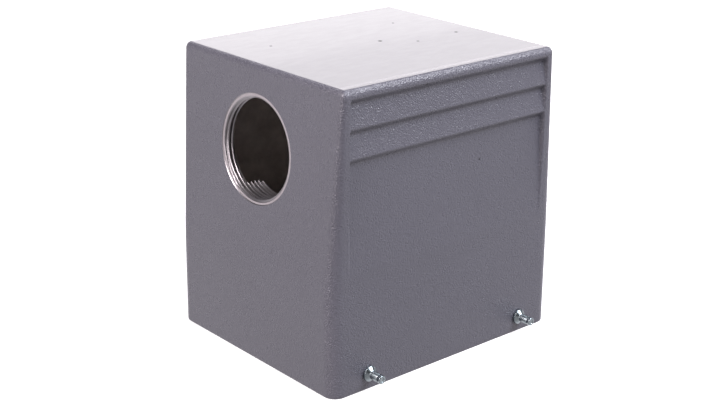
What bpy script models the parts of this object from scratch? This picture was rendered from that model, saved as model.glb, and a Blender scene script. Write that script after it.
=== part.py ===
"""Heavy-duty industrial connector hood for two 16-pole plug inserts.

The hood stands on its open mouth: +Z is up, X runs along the long sides,
the threaded cable entry is in the -X end face, and the origin is the middle
of the mouth. Each physical piece is one object named after the piece.
"""

import math

import bmesh
import bpy
from mathutils import Matrix, Vector

GAP = 0.0003                # free space left between two pieces that touch

# Hood casting, outside: length is along X and width along Y
HOOD_HEIGHT = 0.107
MOUTH_LENGTH = 0.1059
MOUTH_WIDTH = 0.0891
WAIST_HEIGHT = 0.0375       # above this level the end faces lean inwards
WAIST_LENGTH = 0.1069
WAIST_WIDTH = 0.0875
TOP_LENGTH = 0.0979
TOP_WIDTH = 0.0880
LOW_CORNER_RADIUS = 0.0048
TOP_CORNER_RADIUS = 0.0016
TOP_EDGE_RADIUS = 0.0027
CORNER_STEPS = 4
SHARP_ANGLE = 40            # degrees between faces, above which an edge stays sharp

# Hood casting, inside
WALL = 0.0042
ROOF = 0.0045
MOUTH_WALL = 0.0032
MOUTH_DEPTH = 0.014
MOUTH_TAPER = 0.001         # height over which the mouth's wider part ends
INNER_CORNER_RADIUS = 0.003

# Overlapping bands and tapering panel on each long side
RECESS_HALF_LENGTH = 0.046
BAND_TOPS = (0.1038, 0.0937, 0.0836)
BAND_DEPTH = 0.0018
LEDGE_HEIGHT = 0.0018
BAND_LIP = 0.00015          # how far a band's lower edge stays behind the face
PANEL_END = 0.044           # height where the panel runs out into the face
CUTTER_CLEARANCE = 0.005

# Threaded cable entry in the -X end face
ENTRY_HEIGHT = 0.0777
ENTRY_BORE_RADIUS = 0.0185
ENTRY_RING_RADIUS = 0.0193
ENTRY_RING_DEPTH = 0.0004
ENTRY_REACH = 0.025         # how far in the bore cuts, past the column below it
ENTRY_SIDES = 48

# Locking pegs, two on each long side
PEG_X = 0.0369
PEG_HEIGHT = 0.0059
PEG_SHANK_RADIUS = 0.0019
PEG_COLLAR_RADIUS = 0.0028
PEG_COLLAR_TOP = 0.0009
PEG_CONE_TOP = 0.0019       # where the collar's cone meets the stem
PEG_STEM_RADIUS = 0.0015
PEG_REACH = 0.0069
PEG_TIP_BEVEL = 0.0004
PEG_SIDES = 16

# Plug inserts
INSERT_SPACING = 0.035      # between the two inserts' middle lines
FLANGE_LENGTH = 0.0845
FLANGE_WIDTH = 0.034
FLANGE_BOTTOM = 0.0188
FLANGE_THICKNESS = 0.0032
BLOCK_LENGTH = 0.064
BLOCK_WIDTH = 0.0285
BLOCK_TOP = 0.044
PEDESTAL_LENGTH = 0.066
PEDESTAL_WIDTH = 0.0235
PEDESTAL_BOTTOM = 0.0158
FIXING_X = 0.0775 / 2
FIXING_Y = 0.027 / 2

# Contacts: two rows of eight in each insert
CONTACTS_PER_ROW = 8
CONTACT_PITCH = 0.0076
ROW_SPACING = 0.012
PIN_RADIUS = 0.00125
PIN_TIP_RADIUS = 0.0006
PIN_TIP = 0.0036
PIN_TAPER = 0.0016
CLAMP_RADIUS = 0.0026
CLAMP_BOTTOM = 0.0353
CLAMP_TOP = 0.043
CONTACT_SIDES = 8

# Captive fixing screws, M4, and their spring washers
SCREW_RADIUS = 0.0017
SCREW_HEAD_RADIUS = 0.0035
SCREW_HEAD_HEIGHT = 0.0026
SCREW_BEVEL = 0.0003        # on the head's edge and the tip
SCREW_GRIP = 0.008          # thread length inside the hood's lug
SLOT_WIDTH = 0.001
SLOT_DEPTH = 0.0011
SCREW_HOLE_RADIUS = 0.0023
TAPPED_RADIUS = 0.00205
TAPPED_DEPTH = 0.0095
WASHER_RADIUS = 0.0033
WASHER_BORE_RADIUS = 0.0021
WASHER_THICKNESS = 0.0009
SCREW_SIDES = 12

# Lugs that the fixing screws go into, cast onto the hood's end walls
LUG_INNER_X = 0.0332
LUG_OUTER_X = 0.0508
LUG_SHOULDER_X = 0.043
LUG_LOW_TOP = 0.034
LUG_HIGH_TOP = 0.046
MIDDLE_LUG_HALF_WIDTH = 0.0094
COLUMN_INNER_X = 0.0395     # the middle lug under the cable entry goes on up as a column
COLUMN_TOP = 0.066
SIDE_LUG_INNER_Y = 0.0258
SIDE_LUG_OUTER_Y = 0.0412

# Ground plates at the ends of each insert
PLATE_LENGTH = 0.0092
PLATE_WIDTH = 0.0155
PLATE_THICKNESS = 0.0013
POST_LENGTH = 0.0055
POST_WIDTH = 0.009
POST_TOP = 0.036

MATERIALS = {
    "powder_coat": ((0.165, 0.160, 0.185, 1), 0.55, 0.0),
    "zinc_steel": ((0.55, 0.58, 0.60, 1), 0.28, 1.0),
    "grey_plastic": ((0.42, 0.42, 0.40, 1), 0.45, 0.0),
    "silvered_contact": ((0.78, 0.76, 0.72, 1), 0.25, 1.0),
    "nickel_plate": ((0.62, 0.60, 0.55, 1), 0.3, 1.0),
}


def make_material(name):
    """Principled material from the table of finishes."""
    color, roughness, metallic = MATERIALS[name]
    material = bpy.data.materials.new(name)
    material.use_nodes = True
    shader = material.node_tree.nodes["Principled BSDF"]
    shader.inputs["Base Color"].default_value = color
    shader.inputs["Roughness"].default_value = roughness
    shader.inputs["Metallic"].default_value = metallic
    return material


def mesh_object(name, mesh, material_name=None):
    """Link a mesh as an object, with its own material where one is named."""
    obj = bpy.data.objects.new(name, mesh)
    bpy.context.scene.collection.objects.link(obj)
    if material_name:
        mesh.materials.append(make_material(material_name))
    return obj


def as_cutter(obj):
    """Mark an object as a tool of a Boolean, which isn't part of the model."""
    obj.hide_render = True
    obj.display_type = "WIRE"
    return obj


def combine(target, tool, operation):
    """Add an exact Boolean of the tool to the target."""
    modifier = target.modifiers.new(tool.name, "BOOLEAN")
    modifier.object = as_cutter(tool)
    modifier.operation = operation
    modifier.solver = "EXACT"


def closed_mesh(name, rings):
    """Skin rings of points from first to last and close both ends."""
    bm = bmesh.new()
    loops = [[bm.verts.new(point) for point in ring] for ring in rings]
    for low, high in zip(loops, loops[1:]):
        count = len(low)
        for i in range(count):
            j = (i + 1) % count
            bm.faces.new((low[i], low[j], high[j], high[i]))
    bm.faces.new(list(reversed(loops[0])))
    bm.faces.new(loops[-1])
    bmesh.ops.recalc_face_normals(bm, faces=bm.faces)
    mesh = bpy.data.meshes.new(name)
    bm.to_mesh(mesh)
    bm.free()
    return mesh


def turned_mesh(name, profile, sides):
    """Turn a profile of (radius, height) about Z, shaded smooth."""
    rings = []
    for radius, height in profile:
        ring = []
        for i in range(sides):
            angle = 2 * math.pi * i / sides
            ring.append(Vector((radius * math.cos(angle), radius * math.sin(angle), height)))
        rings.append(ring)
    mesh = closed_mesh(name, rings)
    mesh.shade_smooth()
    mesh.set_sharp_from_angle(angle=math.radians(SHARP_ANGLE))
    return mesh


def prism_mesh(name, outline, start, end, axis):
    """Extrude an outline along X or Y; it holds (y, z) or (x, z) points."""
    def ring(offset):
        if axis == "X":
            return [Vector((offset, across, up)) for across, up in outline]
        return [Vector((across, offset, up)) for across, up in outline]
    return closed_mesh(name, [ring(start), ring(end)])


def box_mesh(name, low, high):
    """Box between two opposite corners."""
    def ring(z):
        return [Vector((low[0], low[1], z)), Vector((high[0], low[1], z)),
                Vector((high[0], high[1], z)), Vector((low[0], high[1], z))]
    return closed_mesh(name, [ring(low[2]), ring(high[2])])


def joined_mesh(name, meshes):
    """Collect separate closed meshes in one, for a cutter of several bodies."""
    bm = bmesh.new()
    for mesh in meshes:
        bm.from_mesh(mesh)
    joined = bpy.data.meshes.new(name)
    bm.to_mesh(joined)
    bm.free()
    return joined


def moved(mesh, matrix):
    """Move a mesh's points, and hand it back."""
    mesh.transform(matrix)
    return mesh


# ---------------------------------------------------------------- hood casting

def outer_size(z):
    """Length, width and corner radius of the hood at a height."""
    if z <= WAIST_HEIGHT:
        share = z / WAIST_HEIGHT
        length = MOUTH_LENGTH + share * (WAIST_LENGTH - MOUTH_LENGTH)
        width = MOUTH_WIDTH + share * (WAIST_WIDTH - MOUTH_WIDTH)
        return length, width, LOW_CORNER_RADIUS
    share = (z - WAIST_HEIGHT) / (HOOD_HEIGHT - WAIST_HEIGHT)
    length = WAIST_LENGTH + share * (TOP_LENGTH - WAIST_LENGTH)
    width = WAIST_WIDTH + share * (TOP_WIDTH - WAIST_WIDTH)
    radius = LOW_CORNER_RADIUS + share * (TOP_CORNER_RADIUS - LOW_CORNER_RADIUS)
    return length, width, radius


def rounded_ring(length, width, radius, z):
    """Points of a rectangle with rounded corners, anticlockwise from above."""
    ring = []
    quarters = ((1, 1, 0), (-1, 1, 1), (-1, -1, 2), (1, -1, 3))
    for side_x, side_y, quarter in quarters:
        middle_x = side_x * (length / 2 - radius)
        middle_y = side_y * (width / 2 - radius)
        for step in range(CORNER_STEPS + 1):
            angle = (quarter + step / CORNER_STEPS) * math.pi / 2
            x = middle_x + radius * math.cos(angle)
            y = middle_y + radius * math.sin(angle)
            ring.append(Vector((x, y, z)))
    return ring


def outer_rings():
    """Rings of the outside, from the mouth over the rounded top edge."""
    rings = [rounded_ring(*outer_size(z), z) for z in (0.0, WAIST_HEIGHT)]
    edge_start = HOOD_HEIGHT - TOP_EDGE_RADIUS
    length, width, corner = outer_size(edge_start)
    for step in range(CORNER_STEPS + 1):
        angle = step / CORNER_STEPS * math.pi / 2
        inset = TOP_EDGE_RADIUS * (1 - math.cos(angle))
        z = edge_start + TOP_EDGE_RADIUS * math.sin(angle)
        radius = max(corner - inset, TOP_CORNER_RADIUS / 4)
        rings.append(rounded_ring(length - 2 * inset, width - 2 * inset, radius, z))
    return rings


def cavity_rings():
    """Rings of the hollow, which is wider just inside the mouth."""
    stations = ((-CUTTER_CLEARANCE, MOUTH_WALL), (MOUTH_DEPTH, MOUTH_WALL),
                (MOUTH_DEPTH + MOUTH_TAPER, WALL), (WAIST_HEIGHT, WALL), (HOOD_HEIGHT - ROOF, WALL))
    rings = []
    for z, wall in stations:
        length, width, _ = outer_size(max(z, 0.0))
        rings.append(rounded_ring(length - 2 * wall, width - 2 * wall, INNER_CORNER_RADIUS, z))
    return rings


def band_outline(side):
    """Outline, as (y, z), of what is cut away to leave the bands and panel."""
    def face(z, depth):
        return side * (outer_size(z)[1] / 2 - depth), z

    outside = side * (WAIST_WIDTH / 2 + CUTTER_CLEARANCE)
    points = [(outside, BAND_TOPS[0]), face(BAND_TOPS[0], 0.0)]
    for top, next_top in zip(BAND_TOPS, BAND_TOPS[1:]):
        points.append(face(top - LEDGE_HEIGHT, BAND_DEPTH))
        points.append(face(next_top, BAND_LIP))
    points.append(face(BAND_TOPS[-1] - LEDGE_HEIGHT, BAND_DEPTH))
    points.append(face(PANEL_END, 0.0))
    points.append((outside, PANEL_END))
    return points


def entry_frame():
    """Placement of the cable entry: local Z points out, square to the end face."""
    lean = math.atan2((WAIST_LENGTH - TOP_LENGTH) / 2, HOOD_HEIGHT - WAIST_HEIGHT)
    centre = Vector((-outer_size(ENTRY_HEIGHT)[0] / 2, 0.0, ENTRY_HEIGHT))
    turn = Matrix.Rotation(-math.pi / 2 + lean, 4, "Y")
    return Matrix.Translation(centre) @ turn


def entry_cutter():
    """Bore of the cable entry, with the shallow machined ring around it."""
    profile = [(ENTRY_BORE_RADIUS, -ENTRY_REACH), (ENTRY_BORE_RADIUS, -ENTRY_RING_DEPTH),
               (ENTRY_RING_RADIUS, -ENTRY_RING_DEPTH), (ENTRY_RING_RADIUS, CUTTER_CLEARANCE)]
    mesh = turned_mesh("entry_cutter", profile, ENTRY_SIDES)
    return mesh_object("entry_cutter", moved(mesh, entry_frame()))


def lug_meshes():
    """Lugs on each end wall, sloped above, and the column up to the cable entry."""
    low = FLANGE_BOTTOM + FLANGE_THICKNESS + GAP
    spans = ((-MIDDLE_LUG_HALF_WIDTH, MIDDLE_LUG_HALF_WIDTH),
             (SIDE_LUG_INNER_Y, SIDE_LUG_OUTER_Y), (-SIDE_LUG_OUTER_Y, -SIDE_LUG_INNER_Y))
    meshes = []
    for side in (-1, 1):
        outline = [(side * LUG_INNER_X, low), (side * LUG_OUTER_X, low),
                   (side * LUG_OUTER_X, LUG_HIGH_TOP), (side * LUG_SHOULDER_X, LUG_HIGH_TOP),
                   (side * LUG_INNER_X, LUG_LOW_TOP)]
        for start, end in spans:
            meshes.append(prism_mesh("lug", outline, start, end, "Y"))
    return meshes


def column_mesh():
    """Column on the middle lug of the -X end, whose top the threaded bore cuts."""
    low = (-LUG_OUTER_X, -MIDDLE_LUG_HALF_WIDTH, LUG_LOW_TOP)
    high = (-COLUMN_INNER_X, MIDDLE_LUG_HALF_WIDTH, COLUMN_TOP)
    return box_mesh("column", low, high)


def fixing_places():
    """Places of the eight fixing screws, by insert and number."""
    places = []
    for row, insert in ((-1, "front"), (1, "back")):
        number = 0
        for side_x in (-1, 1):
            for side_y in (-1, 1):
                number += 1
                x = side_x * FIXING_X
                y = row * INSERT_SPACING / 2 + side_y * FIXING_Y
                places.append((f"{insert}_{number}", x, y))
    return places


def peg_places():
    """Places of the four locking pegs: name, x and side in Y."""
    return [("front_left", -PEG_X, -1), ("front_right", PEG_X, -1),
            ("back_left", -PEG_X, 1), ("back_right", PEG_X, 1)]


def peg_frame(x, side):
    """Placement of a peg: local Z points out of the long side."""
    face_y = side * outer_size(PEG_HEIGHT)[1] / 2
    turn = Matrix.Rotation(-side * math.pi / 2, 4, "X")
    return Matrix.Translation((x, face_y, PEG_HEIGHT)) @ turn


def small_hole_meshes():
    """Tapped holes in the lugs and through holes for the locking pegs."""
    meshes = []
    low = FLANGE_BOTTOM + FLANGE_THICKNESS
    for _, x, y in fixing_places():
        profile = [(TAPPED_RADIUS, low - GAP), (TAPPED_RADIUS, low + TAPPED_DEPTH)]
        hole = turned_mesh("tapped_hole", profile, SCREW_SIDES)
        meshes.append(moved(hole, Matrix.Translation((x, y, 0))))
    for _, x, side in peg_places():
        radius = PEG_SHANK_RADIUS + GAP
        profile = [(radius, -2 * MOUTH_WALL), (radius, CUTTER_CLEARANCE)]
        hole = turned_mesh("peg_hole", profile, PEG_SIDES)
        meshes.append(moved(hole, peg_frame(x, side)))
    return meshes


def build_hood():
    """The die-cast hood: shell, bands, lugs, column, cable entry and holes."""
    hood = mesh_object("hood_housing", closed_mesh("hood_housing", outer_rings()), "powder_coat")
    combine(hood, mesh_object("cavity", closed_mesh("cavity", cavity_rings())), "DIFFERENCE")
    bands = [prism_mesh("band", band_outline(side), -RECESS_HALF_LENGTH, RECESS_HALF_LENGTH, "X")
             for side in (-1, 1)]
    combine(hood, mesh_object("bands", joined_mesh("bands", bands)), "DIFFERENCE")
    combine(hood, mesh_object("lugs", joined_mesh("lugs", lug_meshes())), "UNION")
    combine(hood, mesh_object("column", column_mesh()), "UNION")
    combine(hood, entry_cutter(), "DIFFERENCE")
    combine(hood, mesh_object("holes", joined_mesh("holes", small_hole_meshes())), "DIFFERENCE")
    return hood


# ---------------------------------------------------------------- locking pegs

def build_pegs():
    """Steel pegs pressed into the long walls, which locking levers hook over."""
    profile = [(PEG_SHANK_RADIUS, GAP - MOUTH_WALL), (PEG_SHANK_RADIUS, GAP),
               (PEG_COLLAR_RADIUS, GAP), (PEG_COLLAR_RADIUS, PEG_COLLAR_TOP),
               (PEG_STEM_RADIUS, PEG_CONE_TOP), (PEG_STEM_RADIUS, PEG_REACH - PEG_TIP_BEVEL),
               (PEG_STEM_RADIUS - PEG_TIP_BEVEL, PEG_REACH)]
    for name, x, side in peg_places():
        peg = mesh_object(f"locking_peg_{name}", turned_mesh("locking_peg", profile, PEG_SIDES),
                          "zinc_steel")
        peg.matrix_world = peg_frame(x, side)


# ---------------------------------------------------------------- plug inserts

def contact_places():
    """Places of the contacts in one insert, about the insert's middle."""
    places = []
    for side in (-1, 1):
        for column in range(CONTACTS_PER_ROW):
            x = (column - (CONTACTS_PER_ROW - 1) / 2) * CONTACT_PITCH
            places.append((x, side * ROW_SPACING / 2))
    return places


def insert_hole_meshes():
    """Stepped contact chambers and the four fixing holes of one insert."""
    bore = PIN_RADIUS + GAP
    pocket = CLAMP_RADIUS + GAP
    step = CLAMP_BOTTOM - GAP
    low = PEDESTAL_BOTTOM - GAP
    high = BLOCK_TOP + GAP
    chamber = [(bore, low), (bore, step), (pocket, step), (pocket, high)]
    meshes = []
    for x, y in contact_places():
        mesh = turned_mesh("chamber", chamber, CONTACT_SIDES)
        meshes.append(moved(mesh, Matrix.Translation((x, y, 0))))
    hole = [(SCREW_HOLE_RADIUS, PEDESTAL_BOTTOM), (SCREW_HOLE_RADIUS, BLOCK_TOP)]
    for side_x in (-1, 1):
        for side_y in (-1, 1):
            mesh = turned_mesh("fixing_hole", hole, SCREW_SIDES)
            place = (side_x * FIXING_X, side_y * FIXING_Y, 0)
            meshes.append(moved(mesh, Matrix.Translation(place)))
    return meshes


def insert_block(name, length, width, low, high):
    """Box centred on the insert's middle line."""
    mesh = box_mesh(name, (-length / 2, -width / 2, low), (length / 2, width / 2, high))
    return mesh_object(name, mesh)


def build_insert(name, y):
    """Moulded contact carrier: flange, terminal block and pin pedestal."""
    flange_top = FLANGE_BOTTOM + FLANGE_THICKNESS
    low = (-FLANGE_LENGTH / 2, -FLANGE_WIDTH / 2, FLANGE_BOTTOM)
    high = (FLANGE_LENGTH / 2, FLANGE_WIDTH / 2, flange_top)
    insert = mesh_object(f"insert_{name}", box_mesh("insert", low, high), "grey_plastic")
    middle = (FLANGE_BOTTOM + flange_top) / 2
    parts = (insert_block(f"block_{name}", BLOCK_LENGTH, BLOCK_WIDTH, middle, BLOCK_TOP),
             insert_block(f"pedestal_{name}", PEDESTAL_LENGTH, PEDESTAL_WIDTH,
                          PEDESTAL_BOTTOM, middle))
    for part in parts:
        part.parent = insert
        combine(insert, part, "UNION")
    holes = mesh_object(f"insert_holes_{name}", joined_mesh("insert_holes", insert_hole_meshes()))
    holes.parent = insert
    combine(insert, holes, "DIFFERENCE")
    insert.location = (0, y, 0)


def build_contacts(name, y):
    """Sixteen turned contact pins, each with a clamp barrel for its wire."""
    profile = [(PIN_TIP_RADIUS, PIN_TIP), (PIN_RADIUS, PIN_TIP + PIN_TAPER),
               (PIN_RADIUS, CLAMP_BOTTOM), (CLAMP_RADIUS, CLAMP_BOTTOM),
               (CLAMP_RADIUS, CLAMP_TOP)]
    for number, (x, offset) in enumerate(contact_places(), start=1):
        mesh = turned_mesh("contact", profile, CONTACT_SIDES)
        contact = mesh_object(f"contact_{name}_{number:02d}", mesh, "silvered_contact")
        contact.location = (x, y + offset, 0)


def build_ground_plates(name, y):
    """Ground plate with a terminal post at both ends of an insert."""
    base = FLANGE_BOTTOM + FLANGE_THICKNESS + GAP
    for side, label in ((-1, "left"), (1, "right")):
        plate = box_mesh("plate", (-PLATE_LENGTH / 2, -PLATE_WIDTH / 2, base),
                         (PLATE_LENGTH / 2, PLATE_WIDTH / 2, base + PLATE_THICKNESS))
        node = mesh_object(f"ground_plate_{name}_{label}", plate, "nickel_plate")
        post = box_mesh("post", (-POST_LENGTH / 2, -POST_WIDTH / 2, base + PLATE_THICKNESS / 2),
                        (POST_LENGTH / 2, POST_WIDTH / 2, POST_TOP))
        post_tool = mesh_object(f"ground_post_{name}_{label}", post)
        post_tool.parent = node
        combine(node, post_tool, "UNION")
        inner_end = BLOCK_LENGTH / 2 + 2 * GAP
        node.location = (side * (inner_end + PLATE_LENGTH / 2), y, 0)


# ---------------------------------------------------------------- captive screws

def build_screws():
    """Captive screws and spring washers that hold the inserts to the lugs."""
    washer_top = FLANGE_BOTTOM - GAP
    washer_low = washer_top - WASHER_THICKNESS
    seat = washer_low - GAP
    head_low = seat - SCREW_HEAD_HEIGHT
    tip = FLANGE_BOTTOM + FLANGE_THICKNESS + SCREW_GRIP
    length = tip - head_low
    profile = [(SCREW_HEAD_RADIUS - SCREW_BEVEL, 0.0), (SCREW_HEAD_RADIUS, SCREW_BEVEL),
               (SCREW_HEAD_RADIUS, SCREW_HEAD_HEIGHT), (SCREW_RADIUS, SCREW_HEAD_HEIGHT),
               (SCREW_RADIUS, length - SCREW_BEVEL), (SCREW_RADIUS - SCREW_BEVEL, length)]
    ring = [(WASHER_RADIUS, 0.0), (WASHER_RADIUS, WASHER_THICKNESS)]
    bore = [(WASHER_BORE_RADIUS, -GAP), (WASHER_BORE_RADIUS, WASHER_THICKNESS + GAP)]
    for name, x, y in fixing_places():
        screw = mesh_object(f"fixing_screw_{name}", turned_mesh("screw", profile, SCREW_SIDES),
                            "zinc_steel")
        slot = box_mesh("slot", (-2 * SCREW_HEAD_RADIUS, -SLOT_WIDTH / 2, -GAP),
                        (2 * SCREW_HEAD_RADIUS, SLOT_WIDTH / 2, SLOT_DEPTH))
        slot_tool = mesh_object(f"slot_{name}", slot)
        slot_tool.parent = screw
        combine(screw, slot_tool, "DIFFERENCE")
        screw.location = (x, y, head_low)
        washer = mesh_object(f"spring_washer_{name}", turned_mesh("washer", ring, SCREW_SIDES),
                             "zinc_steel")
        bore_tool = mesh_object(f"washer_bore_{name}", turned_mesh("bore", bore, SCREW_SIDES))
        bore_tool.parent = washer
        combine(washer, bore_tool, "DIFFERENCE")
        washer.location = (x, y, washer_low)


def main():
    """Clear the scene and build the whole connector."""
    for obj in list(bpy.data.objects):
        bpy.data.objects.remove(obj, do_unlink=True)
    build_hood()
    build_pegs()
    for name, side in (("front", -1), ("back", 1)):
        y = side * INSERT_SPACING / 2
        build_insert(name, y)
        build_contacts(name, y)
        build_ground_plates(name, y)
    build_screws()


main()
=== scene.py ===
"""Looks of the industrial connector hood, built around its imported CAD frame."""

import math

import bmesh
import bpy
from mathutils import Matrix, Vector


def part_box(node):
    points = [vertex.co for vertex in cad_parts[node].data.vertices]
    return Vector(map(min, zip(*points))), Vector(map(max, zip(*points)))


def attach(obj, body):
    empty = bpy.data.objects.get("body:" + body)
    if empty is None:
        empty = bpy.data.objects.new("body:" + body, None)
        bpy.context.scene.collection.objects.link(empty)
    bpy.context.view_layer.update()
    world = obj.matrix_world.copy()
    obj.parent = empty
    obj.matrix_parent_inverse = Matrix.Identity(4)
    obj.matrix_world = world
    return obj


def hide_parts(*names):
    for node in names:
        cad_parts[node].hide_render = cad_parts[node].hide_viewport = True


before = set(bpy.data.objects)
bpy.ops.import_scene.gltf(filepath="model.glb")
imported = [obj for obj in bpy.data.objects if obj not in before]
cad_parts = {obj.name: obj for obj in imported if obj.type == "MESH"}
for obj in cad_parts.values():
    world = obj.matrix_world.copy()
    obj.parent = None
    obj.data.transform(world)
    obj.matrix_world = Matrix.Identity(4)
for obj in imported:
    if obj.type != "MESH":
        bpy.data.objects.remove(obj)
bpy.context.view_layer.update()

MM = 0.001
TAU = 2 * math.pi
SOFT = 0.3                      # inset halfway round a small rounding, as a share of its radius
HAIR = 0.02 * MM                # allowance when faces are told apart by their place

# ------------------------------------------------------------- sizes, in metres

hood_low, hood_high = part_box("hood_housing")
HEIGHT = hood_high[2]
WAIST_LENGTH = hood_high[0] - hood_low[0]
MOUTH_WIDTH = hood_high[1] - hood_low[1]
MOUTH_LENGTH = WAIST_LENGTH - 1.0 * MM
WAIST_WIDTH = MOUTH_WIDTH - 1.6 * MM
TOP_LENGTH = WAIST_LENGTH - 9.0 * MM
TOP_WIDTH = MOUTH_WIDTH - 1.1 * MM
WAIST_HEIGHT = 37.5 * MM
WAIST_BLEND = 5.0 * MM          # half the height over which the lean sets in
LOW_CORNER = 4.8 * MM
TOP_CORNER = 1.6 * MM
TOP_EDGE = 2.7 * MM
TOP_EDGE_TURN = 68.0            # degrees the rounding turns through before the flat top
TOP_EDGE_STEPS = 8
TOP_EDGE_END = 0.15 * MM        # the rounding runs out over this much of the flat top
RIM_EDGE = 0.5 * MM
RIM_STEPS = 3
CORNER_STEPS = 10

WALL = 4.2 * MM
MOUTH_WALL = 3.2 * MM
ROOF = 4.5 * MM
ROOF_FILLET = 3.0 * MM
MOUTH_DEPTH = 14.0 * MM
MOUTH_DRAFT = 1.0 * MM
INNER_CORNER = 3.0 * MM
SKIN = 2.6 * MM                 # whatever lies deeper than this is inside the casting
END_WALL = 50.8 * MM            # X within the end walls, where lugs and column take root

RECESS_HALF = 46.2 * MM
RECESS_FLANK = 0.9 * MM         # width of the recess's end walls, as seen from the side
BAND_TOPS = (103.8 * MM, 93.7 * MM, 83.6 * MM)
BAND_DEPTH = 1.8 * MM
BAND_LIP = 0.15 * MM
LEDGE_HEIGHT = 1.8 * MM
PANEL_END = 44.0 * MM
BAND_ROUNDING = 0.45 * MM
BAND_SAMPLES = 9                # heights averaged to round the ledges' edges
FINE_STEP = 0.15 * MM           # mesh spacing at the recess's edges
FINE_COLUMNS = 11
COARSE_STEP = 8.0 * MM          # mesh spacing along its middle
COARSE_COLUMNS = 12

ENTRY_HEIGHT = 77.7 * MM
ENTRY_LEAN = math.atan2((WAIST_LENGTH - TOP_LENGTH) / 2, HEIGHT - WAIST_HEIGHT)
ENTRY_ROOT = 18.5 * MM          # outer radius of the thread
ENTRY_CREST = 17.45 * MM
ENTRY_RING = 19.15 * MM
ENTRY_RING_DEPTH = 0.25 * MM
ENTRY_RING_FLARE = 0.3 * MM     # the ring's wall leans out by this much
ENTRY_CHAMFER = 0.9 * MM        # chamfer between the ring and the thread
CHAMFER_SLOPE = 1.4
ENTRY_REACH = 14.0 * MM
ENTRY_PITCH = 25.4 / 16 * MM
THREAD_ROWS = 24                # mesh rows in one pitch
THREAD_SIDES = 144
THREAD_START = 0.25             # turns from local X to where the first groove is deepest

LUG_INNER = 33.2 * MM
LUG_SLOPE_END = 43.0 * MM       # a lug's top slopes up to here from its inner end
LUG_LOW = 22.3 * MM
LUG_TIP = 34.0 * MM
LUG_TOP = 46.0 * MM
LUG_EDGE = 0.6 * MM
LUG_SPANS = ((-9.2 * MM, 9.2 * MM), (25.8 * MM, 41.2 * MM), (-41.2 * MM, -25.8 * MM))
COLUMN_INNER = 41.0 * MM
COLUMN_HALF = 9.4 * MM
COLUMN_FOOT = 3.2 * MM          # fillet between the column and the end wall
COLUMN_ROOT = 0.6 * MM          # straight part between the fillet and END_WALL
COLUMN_EDGE = 1.0 * MM
COLUMN_STEPS = 6
COLUMN_LOW = 34.0 * MM
COLUMN_TOP = 65.0 * MM

TOP_LINE = TOP_WIDTH / 2 - 4.0 * MM     # faint line along the top's long edges
TOP_LINE_HALF = 0.3 * MM
PAINT_SPECKS = [((x * MM, y * MM, HEIGHT), radius * MM) for x, y, radius in
                ((-29.7, 18.5, 0.65), (28.9, 19.3, 0.6), (5.7, 0.5, 0.95),
                 (16.4, -7.9, 0.65), (37.3, -6.1, 0.8))]
PAINT_SPECKS += [((x * MM, -TOP_WIDTH / 2 + depth * MM, z * MM), radius * MM)
                 for x, z, depth, radius in ((-12.6, 103.3, 0.2, 0.6), (14.6, 71.7, 1.25, 0.55))]


# ------------------------------------------------------------------ mesh helpers

def link(name, mesh, *materials):
    """Object for a mesh, with its materials, in the scene."""
    obj = bpy.data.objects.new(name, mesh)
    bpy.context.scene.collection.objects.link(obj)
    for material in materials:
        mesh.materials.append(material)
    return obj


def smooth(mesh, sharp):
    """Smooth shading, with edges past an angle in degrees kept sharp."""
    mesh.shade_smooth()
    mesh.set_sharp_from_angle(angle=math.radians(sharp))
    return mesh


def finish_mesh(name, bm, sharp=35):
    """Turn a bmesh into a smooth-shaded mesh with outward faces."""
    bmesh.ops.recalc_face_normals(bm, faces=bm.faces)
    mesh = bpy.data.meshes.new(name)
    bm.to_mesh(mesh)
    bm.free()
    return smooth(mesh, sharp)


def add_skin(bm, rings):
    """Skin rings of points and close both ends."""
    loops = [[bm.verts.new(point) for point in ring] for ring in rings]
    for low, high in zip(loops, loops[1:]):
        count = len(low)
        for i in range(count):
            j = (i + 1) % count
            bm.faces.new((low[i], low[j], high[j], high[i]))
    bm.faces.new(list(reversed(loops[0])))
    bm.faces.new(loops[-1])


def skinned(name, rings, sharp=35):
    """Closed mesh over rings of points."""
    bm = bmesh.new()
    add_skin(bm, rings)
    return finish_mesh(name, bm, sharp)


def in_mm(*points):
    """Profile points whose sizes are given in millimetres."""
    return [tuple(value * MM for value in point) for point in points]


def circle(radius, height, sides):
    """Ring of points about Z."""
    return [Vector((radius * math.cos(TAU * i / sides), radius * math.sin(TAU * i / sides), height))
            for i in range(sides)]


def turned(name, profile, sides=48, sharp=35):
    """Mesh turned about Z from (radius, height) points."""
    return skinned(name, [circle(radius, height, sides) for radius, height in profile], sharp)


def arc(centre_r, centre_h, radius, start, end, steps):
    """Profile points along an arc: millimetres, and degrees with 0 outwards and 90 up."""
    points = []
    for step in range(steps + 1):
        angle = math.radians(start + (end - start) * step / steps)
        points.append((centre_r + radius * math.cos(angle), centre_h + radius * math.sin(angle)))
    return in_mm(*points)


def rounded_ring(length, width, radius, z, steps=CORNER_STEPS):
    """Points of a rectangle with rounded corners, anticlockwise from above."""
    ring = []
    for quarter, (side_x, side_y) in enumerate(((1, 1), (-1, 1), (-1, -1), (1, -1))):
        for step in range(steps + 1):
            angle = (quarter + step / steps) * math.pi / 2
            ring.append(Vector((side_x * (length / 2 - radius) + radius * math.cos(angle),
                                side_y * (width / 2 - radius) + radius * math.sin(angle), z)))
    return ring


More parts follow.
